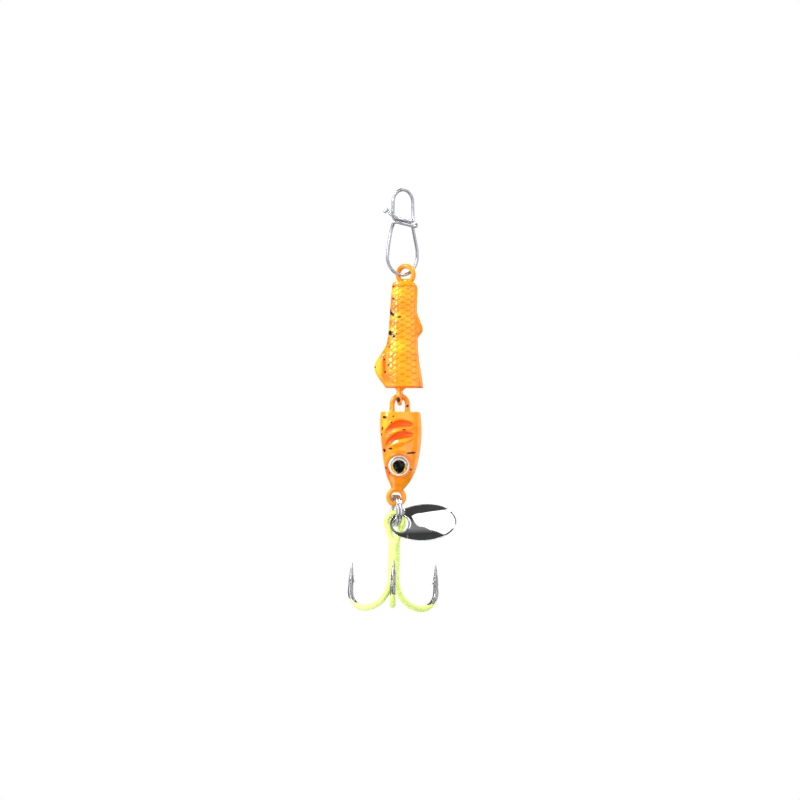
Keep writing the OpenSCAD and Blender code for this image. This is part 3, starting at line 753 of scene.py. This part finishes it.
def flare(z0, z1, mid0, mid1, wide0, wide1, deep0, deep1, turn=0.0, rows=14, sides=48):
    """A fillet of metal and paint that runs from a casting's end into a wire eye."""
    a = 2 * np.pi * np.arange(sides) / sides
    rings = []
    for i in range(rows + 1):
        t = i / rows
        f = (1 - t) ** FLARE_POWER
        wide, deep = wide1 + (wide0 - wide1) * f, deep1 + (deep0 - deep1) * f
        mid = np.array(mid1) + (np.array(mid0) - np.array(mid1)) * (1 - t)
        x, y = wide * np.cos(a), deep * np.sin(a)
        c, s = math.cos(turn), math.sin(turn)
        z = np.full(sides, z0 + (z1 - z0) * t)
        rings.append(np.stack([mid[0] + x * c - y * s, mid[1] + x * s + y * c, z], 1))
    return closed_grid(np.array(rings))


def joined_wire(name, shapes, body, node, place=lambda v: v):
    """The wire eyes of one casting and their fillets, as one painted piece."""
    shape = join(*shapes)
    layers = paint_layers(shape[0], WIRE_FLECKS, [], [])
    piece(name, (place(shape[0]), shape[1]), paint, body, "body_paint", [node], **layers)


tail_turn = math.radians(-16)
tail_eye_c = (0.48, 0.33, -15.45)
tail_ring = ring_path(tail_eye_c, TAIL_RING_R, (math.cos(tail_turn), math.sin(tail_turn), 0), -95, 265)
a = np.radians(np.arange(130, 411, 7.7))
tail_low = np.array([JOINT_X, 0, JOINT_Z]) + TAIL_LOOP_R * np.stack([0 * a, np.cos(a), np.sin(a)], 1)
tail_low = np.vstack([[JOINT_X, -0.75, -36.2], tail_low, [JOINT_X, 0.75, -36.2]])
joined_wire("tail_eyes", [
    tube(tail_ring, EYE_WIRE_R),
    tube(smoothed(even(tail_low, 0.15), 4), LOOP_WIRE_R),
    flare(-17.1, -16.25, (0.35, 0.1), (0.48, 0.33), 2.1, 0.9, 0.95, 0.42, tail_turn),
    flare(-36.4, -37.55, (JOINT_X + 0.1, 0), (JOINT_X, 0), 1.55, 0.52, 1.6, 1.28),
], "tail", "tail_wire", tail_place)

arch = ring_path((JOINT_X, 0, JOINT_Z - ARCH_R + 0.05), ARCH_R, (1, 0, 0), 0, 180)
arch = np.vstack([[JOINT_X + ARCH_R + 0.02, 0, -41.6], [JOINT_X + ARCH_R, 0, -40.4], arch,
                  [JOINT_X - ARCH_R, 0, -40.4], [JOINT_X - ARCH_R - 0.02, 0, -41.6]])
head_ring = ring_path((-1.26, 0, -56.82), HEAD_RING_R, (1, 0, 0), -95, 265)
joined_wire("head_eyes", [
    tube(smoothed(even(arch, 0.15), 3), LOOP_WIRE_R),
    tube(head_ring, EYE_WIRE_R),
    flare(-41.1, -40.45, (JOINT_X + ARCH_R, 0), (JOINT_X + ARCH_R, 0), 0.85, 0.5, 0.8, 0.5),
    flare(-41.1, -40.45, (JOINT_X - ARCH_R, 0), (JOINT_X - ARCH_R, 0), 0.85, 0.5, 0.8, 0.5),
    flare(-55.3, -56.0, (-1.1, 0), (-1.26, 0), 1.32, 1.15, 0.72, 0.44),
], "head", "head_wire")

# ---- Moulded eyes ----

DISC_Y, DISC_THICK, EYE_R = 1.3, 0.12, 1.95
PUPIL_HALF, PUPIL_UP, PUPIL_DOWN = 1.06, 0.95, 1.4
IRIS_R, PALE_FROM, PALE_TO = 1.46, 1.54, 1.6
DOME_BASE, DOME_TOP, DOME_WALL = DISC_Y + 0.125, 2.62, 1.86
BEVEL_FROM, BEVEL_TO = 1.58, 1.66


def eye_disc_shape(side):
    """The printed disc under a dome: its shape and the float layers of the print, among them a painted
    highlight on the iris top and a painted dark reflection on its upper outline.
    """
    r = np.linspace(0.02, 1.0, 60)
    a = 2 * np.pi * np.arange(120) / 120
    x, z = np.outer(r, np.cos(a)) * EYE_R, np.outer(r, np.sin(a)) * EYE_R
    front = np.stack([EYE_X + x, np.full(x.shape, side * (DISC_Y + DISC_THICK)), EYE_Z + z], 2)
    back = np.stack([EYE_X + x, np.full(x.shape, side * DISC_Y), EYE_Z + z], 2)[::-1]
    grid = np.vstack([front, back])
    if side > 0:
        grid = grid[::-1]
    verts, faces = closed_grid(grid)
    dx, dz = verts[:, 0] - EYE_X, verts[:, 2] - EYE_Z
    from_middle = np.hypot(dx, dz)
    down = np.clip(-dz / PUPIL_DOWN, 0, 1)
    up = np.clip(dz / PUPIL_UP, 0, 1)
    narrowing = np.where(dz < 0, 1 - 0.55 * down ** 1.6, 1)
    closing = np.sqrt(np.clip(1 - np.where(dz < 0, down ** 4, up ** 2.2), 0, 1))
    reach = PUPIL_HALF * narrowing * closing
    layers = {
        "pupil": np.clip(0.5 + (reach - np.abs(dx)) * 4.5, 0, 1) * ((dz > -PUPIL_DOWN) & (dz < PUPIL_UP)),
        "around": (np.arctan2(dz, dx) + math.pi) / (2 * math.pi),
        # The top of the iris: pale foil, whitened further as a painted highlight.
        "silver_and_glint": smooth_step(0.35 * np.abs(dx) + dz, 0.35, 0.95) * 0.85,
        # A printed dark outline, made stronger towards the top as a painted dark reflection.
        "edge": 0.95 * bell(from_middle, IRIS_R, 0.09) * (0.3 + 0.7 * smooth_step(dz, -0.3, 0.9)),
        "rim": smooth_step(from_middle, PALE_FROM, PALE_TO),
    }
    return (verts, faces), layers


def eye_dome_shape(side):
    """A lathe: flat base on the disc, a short straight wall, a narrow bevel and a shallow cap."""
    rise, sides = DOME_TOP - DOME_WALL, 96
    cap_r = (EYE_R ** 2 + rise ** 2) / (2 * rise)
    profile = [(r, DOME_BASE) for r in (0.03, 1.55, 1.7, EYE_R - 0.02)]
    profile += [(EYE_R, DOME_BASE + 0.035), (EYE_R, DOME_WALL - 0.1)]
    edge = math.asin(EYE_R / cap_r)
    for f in np.linspace(0.98, 0.01, 48):
        profile.append((cap_r * math.sin(edge * f), DOME_TOP - cap_r + cap_r * math.cos(edge * f)))
    a = 2 * np.pi * np.arange(sides) / sides
    x, z, flat = np.cos(a), np.sin(a), np.ones(sides)
    grid = np.array([np.stack([EYE_X + r * x, side * y * flat, EYE_Z + r * z], 1) for r, y in profile])
    if side < 0:
        grid = grid[::-1]
    return closed_grid(grid)


for side, word in ((-1, "left"), (1, "right")):
    shape, layers = eye_disc_shape(side)
    piece(f"iris_{word}", shape, iris, "head", "eye_foil", [f"eye_disc_{word}"], **layers)
    shape = eye_dome_shape(side)
    from_middle = np.hypot(shape[0][:, 0] - EYE_X, shape[0][:, 2] - EYE_Z)
    piece(f"dome_{word}", shape, resin, "head", "clear_resin", [f"eye_dome_{word}"],
          bevel=smooth_step(from_middle, BEVEL_FROM, BEVEL_TO))

# ---- Snap: one springy wire, drawn as a fixed S and two gate arms, which flex on the real snap ----

WIRE_R = 0.3
SNAP_YAW = math.radians(20)
SNAP_TOP, UP_R, UP_Z, LOW_R, LOW_X, LOW_Z, BOWL_Z = 0.3, 1.95, -2.15, 2.95, -0.12, -12.1, -15.55
LX, RX, SNAP_FRONT, HOOK_GAP = -UP_R, UP_R, -0.7, 0.65


def snap_place(v):
    """Turns points of the snap about the Z axis."""
    out = np.array(v, float)
    c, s = math.cos(SNAP_YAW), math.sin(SNAP_YAW)
    x, y = out[:, 0].copy(), out[:, 1].copy()
    out[:, 0], out[:, 1] = x * c - y * s, x * s + y * c
    return out


arch_h, bowl_h = SNAP_TOP - UP_Z, LOW_Z - BOWL_Z
middle = np.vstack([
    arc(0, UP_Z, UP_R, arch_h, 90, 180, 16),
    catmull([[LX, 0, UP_Z - 0.6], [LX, 0, -4.3], [LX + 0.06, 0, -4.85], [LX + 0.5, 0, -5.35], [0, 0, -5.75],
             [RX - 0.5, 0, -6.15], [RX - 0.02, 0, -6.6], [RX + 0.12, 0, -7.3],
             [RX + 0.85, 0, LOW_Z + 1.2]], 6),
    arc(LOW_X, LOW_Z, LOW_R, bowl_h, 0, -90, 16),
])
upper_arm = np.vstack([
    arc(0, UP_Z, UP_R, arch_h, 90, 2, 16),
    catmull([[RX, 0, UP_Z], [RX + 0.03, 0, -3.6], [RX, SNAP_FRONT * 0.25, -4.6],
             [RX - 0.25, SNAP_FRONT, -5.5], [0.6, SNAP_FRONT, -5.47], [LX + 0.5, SNAP_FRONT, -5.07],
             [LX, SNAP_FRONT, -4.65],
             [LX - HOOK_GAP, SNAP_FRONT * 0.5, -4.3], [LX - HOOK_GAP - 0.12, 0, -3.75],
             [LX - HOOK_GAP - 0.5, 0.1, -3.4], [LX - HOOK_GAP - 1.05, 0.1, -4.05]], 8),
])
HX = LOW_X - LOW_R
lower_arm = np.vstack([
    arc(LOW_X, LOW_Z, LOW_R, bowl_h, -90, -178, 16),
    catmull([[HX, 0, LOW_Z], [LX - 0.86, 0, -10], [LX - 0.5, 0, -7.9], [LX - 0.22, SNAP_FRONT * 0.3, -6.55],
             [LX + 0.16, SNAP_FRONT, -5.82], [0, SNAP_FRONT, -6.1], [RX - 0.4, SNAP_FRONT, -6.45],
             [RX + 0.25, SNAP_FRONT, -6.5], [RX + HOOK_GAP, SNAP_FRONT * 0.5, -6.35],
             [RX + HOOK_GAP + 0.05, 0.1, -6.05]], 8),
])


CUT_END = 0.16


def snap_piece(name, path, node, blend=None):
    """One run of the snap wire; an arm, which has a blend, also has a softly rounded end."""
    path = even(path, 0.1)
    radius = np.full(len(path), WIRE_R)
    run = lengths(path)
    left = run[-1] - run
    if blend:
        radius *= np.sqrt(np.clip(1 - np.clip(1 - left / CUT_END, 0, 1) ** 2, 0.03, 1))
    v, f = tube(path, radius, 20)
    piece(name, (snap_place(v), f), snap_steel, "snap", "snap_wire", [node], blend=blend)


def snap_point(x, z):
    return tuple(snap_place(np.array([[x, 0, z]]))[0] * MM)


snap_piece("snap_wire", middle, "snap_frame")
UPPER_FLEX, LOWER_FLEX = 0.9, 1.2
snap_piece("snap_upper_arm", upper_arm, "snap_upper_gate",
           ("snap", "upper_gate", snap_point(UP_R, UP_Z + UPPER_FLEX), snap_point(UP_R, UP_Z - UPPER_FLEX)))
snap_piece("snap_lower_arm", lower_arm, "snap_lower_gate",
           ("snap", "lower_gate", snap_point(HX, LOW_Z - LOWER_FLEX), snap_point(HX, LOW_Z + LOWER_FLEX)))

# ---- Split ring: a flat wire coil of nearly two turns ----

RING_C = (-1.36, 0.0, -59.35)
RING_R, RING_W, RING_T, RING_GAP, RING_CORNER = 2.7, 0.56, 0.6, 0.03, 0.17
# The coil's sweep, start and cross-over in degrees, and the ring's yaw.
RING_SWEEP, RING_START, CROSS_FROM, CROSS_TO, RING_YAW = 680, 20, 320, 360, math.radians(15)
RING_END = 0.35


def make_ring():
    """A wire of rounded square section, wound from one side of the ring to the other."""
    a = np.arange(0, RING_SWEEP + 0.1, 3.0)
    lift = (RING_W + RING_GAP) / 2
    x = -lift + 2 * lift * smooth_step(a, CROSS_FROM, CROSS_TO)
    section, per = [], 5
    for cx, cy, a0 in ((1, 1, 0), (-1, 1, 90), (-1, -1, 180), (1, -1, 270)):
        for k in range(per + 1):
            t = math.radians(a0 + 90 * k / per)
            section.append((cx * (RING_W / 2 - RING_CORNER) + RING_CORNER * math.cos(t),
                            cy * (RING_T / 2 - RING_CORNER) + RING_CORNER * math.sin(t)))
    section = np.array(section)
    ang = np.radians(a + RING_START)
    grid = np.zeros((len(a), len(section), 3))
    for i in range(len(a)):
        end = min(i, len(a) - 1 - i)
        small = 1 - RING_END * math.exp(-end / 0.8)
        r = RING_R + section[:, 1] * small
        grid[i] = np.stack([x[i] + section[:, 0] * small, r * math.cos(ang[i]), r * math.sin(ang[i])], 1)
    c, s = math.cos(RING_YAW), math.sin(RING_YAW)
    across, out = grid[:, :, 0], grid[:, :, 1]
    turned = np.stack([across * c - out * s, across * s + out * c, grid[:, :, 2]], 2)
    return closed_grid(turned + np.array(RING_C))


piece("split_ring_coil", make_ring(), ring_steel, "ring", "ring_steel", ["split_ring"])

# ---- Blade: a dished oval with a rolled rim and a hole ----

BLADE_L, BLADE_W, BLADE_T, BLADE_DISH = 12.4, 6.9, 0.35, 1.0
HOLE_R, HOLE_IN = 1.5, 1.95
# The rolled rim: its depth and width, and where along the blade it fades in.
ROLL_DEEP, ROLL_WIDE, ROLL_FROM, ROLL_TO = 0.15, 0.42, -5.2, -2.5
# Height of the dish along the blade, from its hole end to its free end.
DISH_LINE = catmull([[-7, -0.14], [-6.2, 0.07], [-5.2, 0.32], [-4.25, 0.55], [-3.2, 0.79], [-2.2, 0.95],
                     [-1.5, 1.0], [-0.5, 0.985], [1, 0.92], [3, 0.74], [5, 0.46], [6.2, 0.24], [7, 0.08]], 12)
BLADE_AT, BLADE_TURN, TILT = (-0.5, -1.52, -61.85), math.radians(-4), math.radians(-7)


def turned_and_tilted(v, turn, at):
    """Turns points in the XZ plane, tilts them about X and moves them to their place."""
    out = np.array(v, float)
    c, s = math.cos(turn), math.sin(turn)
    x, z = out[:, 0].copy(), out[:, 2].copy()
    out[:, 0], out[:, 2] = x * c + z * s, z * c - x * s
    c, s = math.cos(TILT), math.sin(TILT)
    y, z = out[:, 1].copy(), out[:, 2].copy()
    out[:, 1], out[:, 2] = y * c - z * s, y * s + z * c
    return out + np.array(at)


def make_blade(sides=160, bands=34):
    """Rings from the hole out to the rim on the front, round the edge, and back along the other face."""
    hole_x = HOLE_IN - BLADE_L / 2
    a = 2 * np.pi * np.arange(sides) / sides
    hole = np.stack([hole_x + HOLE_R * np.cos(a), HOLE_R * np.sin(a)], 1)
    rim = np.stack([BLADE_L / 2 * np.cos(a), BLADE_W / 2 * np.sin(a) * (1 + 0.05 * np.cos(a))], 1)

    def row(f, lift):
        p = hole * (1 - f) + rim * f
        d = np.interp(p[:, 0], DISH_LINE[:, 0], DISH_LINE[:, 1]) - BLADE_DISH * (p[:, 1] / (BLADE_W / 2)) ** 2
        from_rim = np.linalg.norm(rim - hole, axis=1) * (1 - f)
        roll = ROLL_DEEP * np.clip(1 - from_rim / ROLL_WIDE, 0, 1) ** 2
        roll = roll * smooth_step(p[:, 0], ROLL_FROM, ROLL_TO)
        return np.stack([p[:, 0] - hole_x, d + lift - roll, p[:, 1]], 1)

    h = BLADE_T / 2
    shares = np.linspace(0, 1, bands + 1)
    shares = np.sort(np.concatenate([shares, 1 - np.array([0.005, 0.01, 0.018, 0.045, 0.075, 0.105])]))
    inset = 0.03
    shares[0], shares[-1] = inset, 1 - inset * 0.5
    rows = [row(f, h) for f in shares]
    rows += [row(1 - 0.004, h * 0.7), row(1, 0), row(1 - 0.004, -h * 0.7)]
    rows += [row(f, -h) for f in shares[::-1]]
    rows += [row(0.004, -h * 0.7), row(0, 0), row(0.004, h * 0.7)]
    grid = np.array(rows)
    grid[:, :, 1] *= -1
    faces = grid_faces(len(rows), sides)
    last = (len(rows) - 1) * sides
    faces += [(last + k, last + (k + 1) % sides, (k + 1) % sides, k) for k in range(sides)]
    return turned_and_tilted(grid.reshape(-1, 3), BLADE_TURN, BLADE_AT), faces


piece("flipper_blade", make_blade(), chrome, "flipper", "blade_chrome", ["blade"])

# ---- Treble hook ----

HOOK_D, REACH, BEND_R, HOOK_L = 1.04, 9.2, 5.4, 15.9
HOOK_AT, LEAN = (-1.5, 0.0, -61.45), math.radians(1.5)
HR = HOOK_D / 2
POINT_Z, TAPER = -7.4, 3.2
OUTER_R = REACH - BEND_R - 2 * HR / math.sqrt(3)
OFFSET = (HR + 0.01) * 2 / math.sqrt(3)
EYE_LOOP = 1.56
POINT_LEAN, LACQUER, THIN_LENGTH = 0.18, 0.035, 5.4


def hook_place(v):
    return turned_and_tilted(v, LEAN, HOOK_AT)


def bend_path(dx, dy):
    """The bend and point of one hook, in the upright plane through the direction (dx, dy)."""
    z1, z2 = BEND_R - HOOK_L, OUTER_R - HOOK_L
    mid = OFFSET + BEND_R
    a = np.radians(np.arange(180, 271, 5))
    b = np.radians(np.arange(-85, 1, 5))
    flat = [(mid + BEND_R * math.cos(t), z1 + BEND_R * math.sin(t)) for t in a]
    flat += [(mid + OUTER_R * math.cos(t), z2 + OUTER_R * math.sin(t)) for t in b]
    flat += [(REACH - POINT_LEAN * f, z2 + (POINT_Z - z2) * f) for f in np.linspace(0.03, 1, 34)]
    return np.array([[dx * r, dy * r, z] for r, z in flat])


def point_radius(path):
    """The wire narrows to its point, and is a little thinner over the length before it."""
    left = POINT_Z - path[:, 2]
    outer = np.hypot(path[:, 0], path[:, 1]) > REACH - 1.2
    thin = 1 - 0.1 * np.clip(THIN_LENGTH - left, 0, 1)
    tip = 0.88 * np.clip(left / TAPER, 0, 1) ** 0.72 + 0.02
    return HR * np.where(outer, np.where(left > TAPER, thin, np.minimum(tip, thin)), 1.0)


def barb(dx, dy):
    """A spur cut up from the inner side of the point, leaning back towards the bend."""
    foot = REACH - 0.3
    line = np.array([[foot, -9.9], [foot - 0.1, -10.4], [foot - 0.3, -10.85], [foot - 0.6, -11.25]])
    p = catmull([[dx * r, dy * r, z] for r, z in line], 6)
    return tube(p, np.linspace(0.3, 0.02, len(p)), 14)


def bare_share(v):
    """How bare the steel is: 1 at the points, falling to 0 where the lacquer starts."""
    r = np.hypot(v[:, 0], v[:, 1])
    inner = smooth_step(REACH - r, 0.0, 1.0)
    above_bend = smooth_step(v[:, 2] + 0.8 * inner, -15.0, -13.4)
    return np.where(r > 4.0, above_bend * smooth_step(r, 5.2, 7.2), 0.0)


def hook_wire(name, path, spurs, node):
    path = even(path, 0.12)
    lacquer = LACQUER * (1 - bare_share(path))
    v, f = join(tube(path, point_radius(path) + lacquer, 24), *spurs)
    piece(name, (hook_place(v), f), hook_paint, "hook", "hook_paint", [node], bare=bare_share(v))


s60, c60 = math.sin(math.radians(60)), math.cos(math.radians(60))
left, right, front = bend_path(-s60, c60), bend_path(s60, c60), bend_path(0, -1)
back, beside = OFFSET / 2, HR + 0.01
a = np.radians(np.arange(-35, 216, 5))
loop = np.stack([EYE_LOOP * np.cos(a), np.full(len(a), back), EYE_LOOP * 1.05 * np.sin(a)], 1)
double = np.vstack([
    left[::-1],
    catmull([left[0], [-beside, back, -7], [-beside, back, -3.4], [-0.8, back, -2.35], loop[-1]], 8)[1:-1],
    loop[::-1],
    catmull([loop[0], [0.8, back, -2.35], [beside, back, -3.4], [beside, back, -7], right[0]], 8)[1:-1],
    right,
])
hook_wire("hook_pair", smoothed(even(double, 0.12), 2), [barb(-s60, c60), barb(s60, c60)], "hook_double")
third = np.vstack([[[0, -OFFSET, -3.9]], [[0, -OFFSET, -7]], front])
hook_wire("hook_third", third, [barb(0, -1)], "hook_single")

# Solder along the shank: [height, share of the full size].
SOLDER = [[-2.95, 0.2], [-3.3, 0.55], [-3.8, 0.85], [-4.4, 1], [-7, 1], [-9.8, 1], [-10.6, 0.8], [-11.2, 0.3]]
fillet_rings = []
for z, grow in SOLDER:
    a = 2 * np.pi * np.arange(48) / 48
    r = (OFFSET + 0.29 + 0.05 * np.cos(3 * (a - math.radians(90)))) * grow
    fillet_rings.append(np.stack([r * np.cos(a), r * np.sin(a), np.full(48, z)], 1))
v, f = closed_grid(np.array(fillet_rings)[::-1])
bare = np.zeros(len(v))
piece("hook_solder", (hook_place(v), f), hook_paint, "hook", "hook_paint", ["hook_braze"], bare=bare)

# ---- Floor, lights and camera, in metres ----

FLOOR_R, FLOOR_Z = 0.15, -0.3
CAMERA_AT, CAMERA_LENS = (-0.00056, -0.65, -0.0388), 157.3
# Tones that reflections see in the world, from straight down to straight up.
STUDIO_TONES = ((0.0, 0.25), (0.1, 0.07), (0.28, 0.05), (0.42, 0.26), (0.58, 0.26), (0.72, 0.05),
                (0.97, 0.07), (1.0, 0.15))
# Behind the object, by the Y of the direction, the world turns white for reflections too.
WHITE_FROM, WHITE_FULL = 0.5, 0.88


def pale_floor():
    """A pale disc well below the object."""
    m = Nodes("pale_floor")
    cloud = m.noise(per_mm=0.02, detail=3)
    m.set(Base_Color=m.ramp(cloud, (0.3, FLOOR_WHITE[0]), (0.7, FLOOR_WHITE[1])), Roughness=0.6)
    sides = 96
    a = 2 * np.pi * np.arange(sides) / sides
    verts = [(FLOOR_R * math.cos(t), FLOOR_R * math.sin(t), FLOOR_Z) for t in a]
    mesh = bpy.data.meshes.new("floor")
    mesh.from_pydata(verts, [], [tuple(range(sides))])
    mesh.materials.append(m.material)
    obj = bpy.data.objects.new("floor", mesh)
    bpy.context.scene.collection.objects.link(obj)


def area(name, at, aim, size, power, tall=None, turn=0):
    """A square area light, or a rectangular one when it has a height, turned by degrees about its beam."""
    light = bpy.data.lights.new(name, "AREA")
    light.energy = power
    light.size = size
    if tall:
        light.shape = "RECTANGLE"
        light.size_y = tall
    obj = bpy.data.objects.new(name, light)
    bpy.context.scene.collection.objects.link(obj)
    obj.location = at
    aimed = (Vector(aim) - Vector(at)).to_track_quat("-Z", "Y").to_matrix()
    obj.rotation_euler = (aimed @ Matrix.Rotation(math.radians(turn), 3, "Z")).to_euler()


def studio():
    """White to the camera, a dark studio with pale bands to reflections, and the area lights."""
    world = bpy.data.worlds.new("studio")
    bpy.context.scene.world = world
    world.use_nodes = True
    t = world.node_tree
    where = t.nodes.new("ShaderNodeTexCoord")
    split = t.nodes.new("ShaderNodeSeparateXYZ")
    t.links.new(where.outputs["Generated"], split.inputs[0])
    ramp = t.nodes.new("ShaderNodeValToRGB")
    up = t.nodes.new("ShaderNodeMapRange")
    up.inputs["From Min"].default_value = -1
    t.links.new(split.outputs["Z"], up.inputs["Value"])
    t.links.new(up.outputs["Result"], ramp.inputs["Fac"])
    fill_ramp(ramp, STUDIO_TONES)
    seen = t.nodes.new("ShaderNodeLightPath")
    pick = t.nodes.new("ShaderNodeMix")
    pick.data_type = "RGBA"
    t.links.new(seen.outputs["Is Camera Ray"], pick.inputs[0])
    cap = t.nodes.new("ShaderNodeMapRange")
    cap.interpolation_type = "SMOOTHSTEP"
    cap.inputs["From Min"].default_value = WHITE_FROM
    cap.inputs["From Max"].default_value = WHITE_FULL
    t.links.new(split.outputs["Y"], cap.inputs["Value"])
    behind = t.nodes.new("ShaderNodeMix")
    behind.data_type = "RGBA"
    t.links.new(cap.outputs["Result"], behind.inputs[0])
    t.links.new(ramp.outputs["Color"], behind.inputs[6])
    behind.inputs[7].default_value = (1, 1, 1, 1)
    t.links.new(behind.outputs[2], pick.inputs[6])
    pick.inputs[7].default_value = (1, 1, 1, 1)
    t.links.new(pick.outputs[2], t.nodes["Background"].inputs["Color"])
    centre = (0, 0, -0.04)
    area("key", (-0.35, -0.28, 0.16), centre, 0.16, 1.4)
    area("low", (-0.3, -0.16, -0.28), centre, 0.25, 0.6)
    area("top_left", (-0.23, -0.09, 0.33), centre, 0.1, 1.6)
    area("top_right", (0.2, -0.1, 0.33), centre, 0.07, 0.7)
    area("card_right", (0.18, -0.465, 0.05), (0, 0, 0), 0.38, 1.75, 0.8, 25)
    area("side_right", (0.42, 0.09, 0.03), centre, 0.4, 1.3, 0.7)
    area("card_left", (-0.42, -0.22, -0.04), centre, 0.2, 0.45, 0.8)
    area("rear", (0.12, 0.42, 0.1), centre, 0.3, 0.6)


pale_floor()
studio()
cam = bpy.data.cameras.new("camera")
cam.lens = CAMERA_LENS
cam.sensor_width = 36
cam.clip_start, cam.clip_end = 0.01, 10
camera = bpy.data.objects.new("camera", cam)
bpy.context.scene.collection.objects.link(camera)
camera.location = CAMERA_AT
camera.rotation_euler = (math.pi / 2, 0, 0)
bpy.context.scene.camera = camera
bpy.context.scene.view_settings.view_transform = "Standard"
